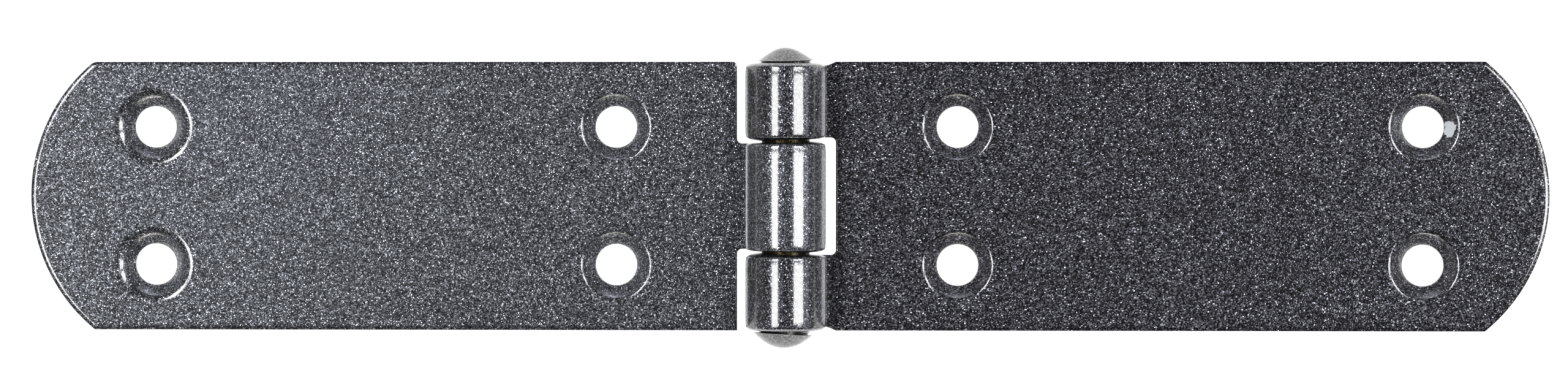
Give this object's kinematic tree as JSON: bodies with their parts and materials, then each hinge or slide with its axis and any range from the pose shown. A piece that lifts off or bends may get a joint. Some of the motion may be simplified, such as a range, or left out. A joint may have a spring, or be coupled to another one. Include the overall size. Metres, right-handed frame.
{
  "type": "chest hinge",
  "caption": "Strap chest hinge: two flat leaves with curved ends and countersunk screw holes, joined by rolled knuckles on a riveted pin with domed heads.",
  "frame": {"origin": "on the plane of the leaves' back faces, straight below the middle of the pin, with the hinge open flat", "axes": "+X out along the leaf with two knuckles, +Y along the pin, +Z out of the front faces, on which the barrel stands"},
  "size_m": [0.198, 0.0392, 0.0104],
  "materials": {
    "leaf_outer_paint": "gloss dark grey paint with silver flake",
    "leaf_centre_paint": "gloss dark grey paint with silver flake",
    "pin_paint": "gloss grey paint with silver flake, thinner over the riveted heads"
  },
  "bodies": {
    "outer_leaf": {"leaf_outer_knuckles": "leaf_outer_paint", "hinge_pin": "pin_paint"},
    "centre_leaf": {"leaf_centre_knuckle": "leaf_centre_paint"}
  },
  "joints": [
    {"name": "leaf_fold", "type": "hinge", "parent": "outer_leaf", "child": "centre_leaf", "pos_m": [0, 0, 0.00522], "axis": [0, 1, 0], "range_deg": [-100, 180]}
  ]
}
